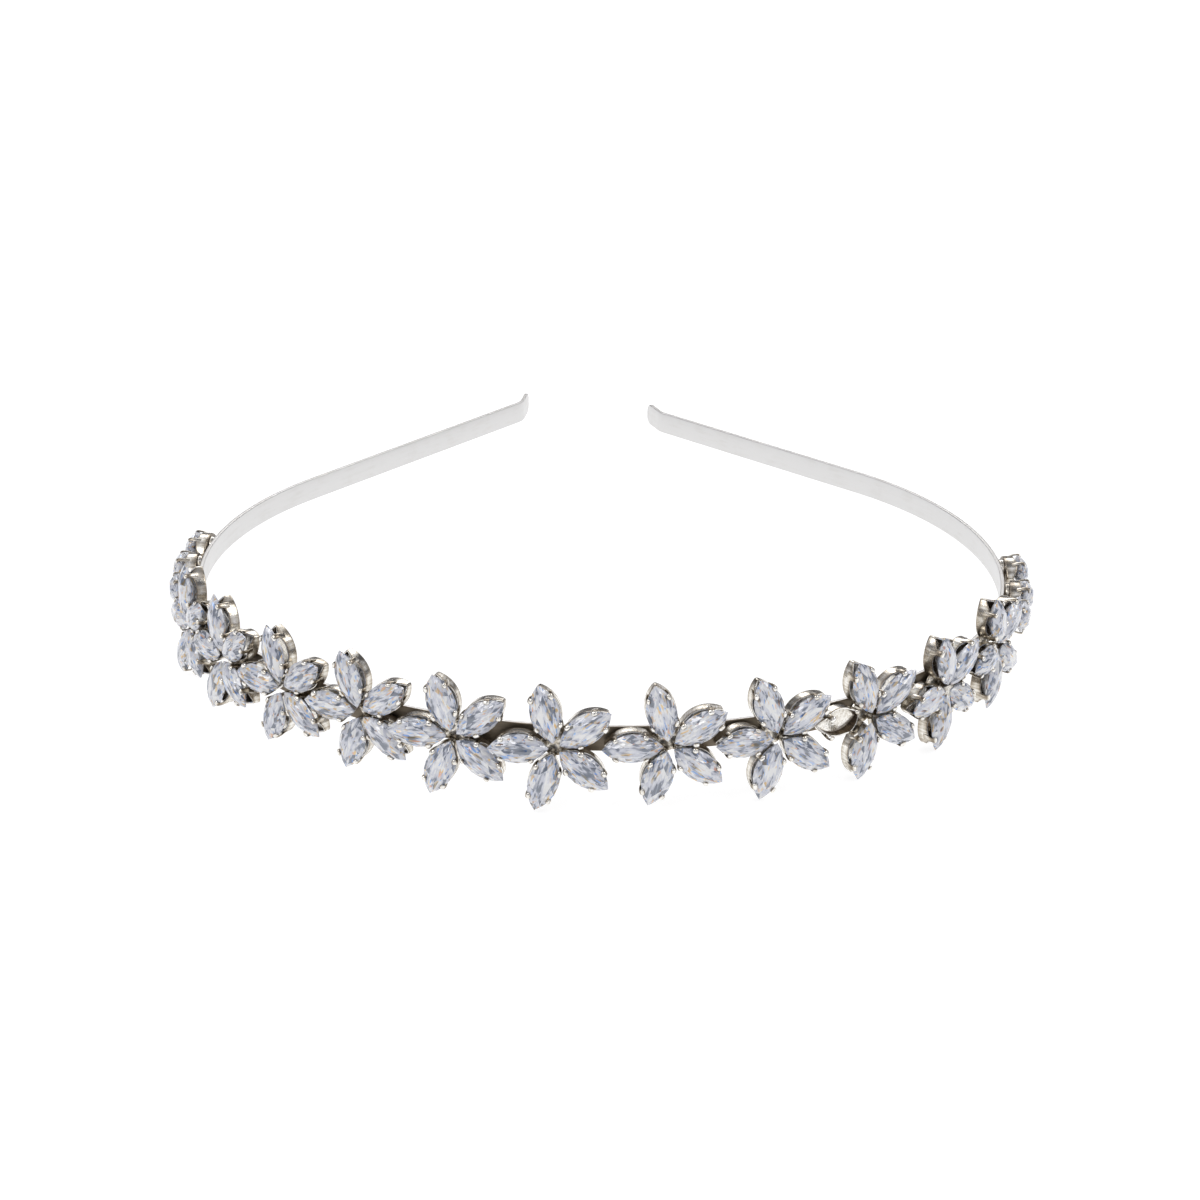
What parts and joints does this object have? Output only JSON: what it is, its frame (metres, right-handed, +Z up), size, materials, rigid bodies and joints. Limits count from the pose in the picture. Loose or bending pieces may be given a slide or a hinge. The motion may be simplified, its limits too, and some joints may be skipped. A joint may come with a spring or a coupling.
{
  "type": "crystal headband",
  "caption": "Open silver-tone headband with claw-set marquise crystal flowers soldered round its front and sides and single stones behind them",
  "frame": {"origin": "on the table that the headband lies on, under the middle of the whole piece's box", "axes": "X runs from the left arm to the right arm, Y from the flowers at the front to the open ends at the back, and Z up through the height of the band"},
  "size_m": [0.127, 0.1476, 0.0181],
  "materials": {
    "band": "bright silver-tone plating, softly satin on the flat faces and darker along the narrow edges",
    "setting": "polished silver-tone plated cups and claws, with bright rims and dark warm reflections",
    "stone": "clear colourless faceted stones with a faint cool violet body and small coloured glints"
  },
  "bodies": {
    "root": {"band": "band", "flower_01_setting": "setting", "flower_02_setting": "setting", "flower_03_setting": "setting", "flower_04_setting": "setting", "flower_05_setting": "setting", "flower_06_setting": "setting", "flower_07_setting": "setting", "flower_08_setting": "setting", "flower_09_setting": "setting", "flower_10_setting": "setting", "flower_11_setting": "setting", "flower_01_stones": "stone", "flower_02_stones": "stone", "flower_03_stones": "stone", "flower_04_stones": "stone", "flower_05_stones": "stone", "flower_06_stones": "stone", "flower_07_stones": "stone", "flower_08_stones": "stone", "flower_09_stones": "stone", "flower_10_stones": "stone", "flower_11_stones": "stone", "single_01_setting": "setting", "single_02_setting": "setting", "single_03_setting": "setting", "single_04_setting": "setting", "single_05_setting": "setting", "single_06_setting": "setting", "single_01_stone": "stone", "single_02_stone": "stone", "single_03_stone": "stone", "single_04_stone": "stone", "single_05_stone": "stone", "single_06_stone": "stone"}
  },
  "joints": []
}
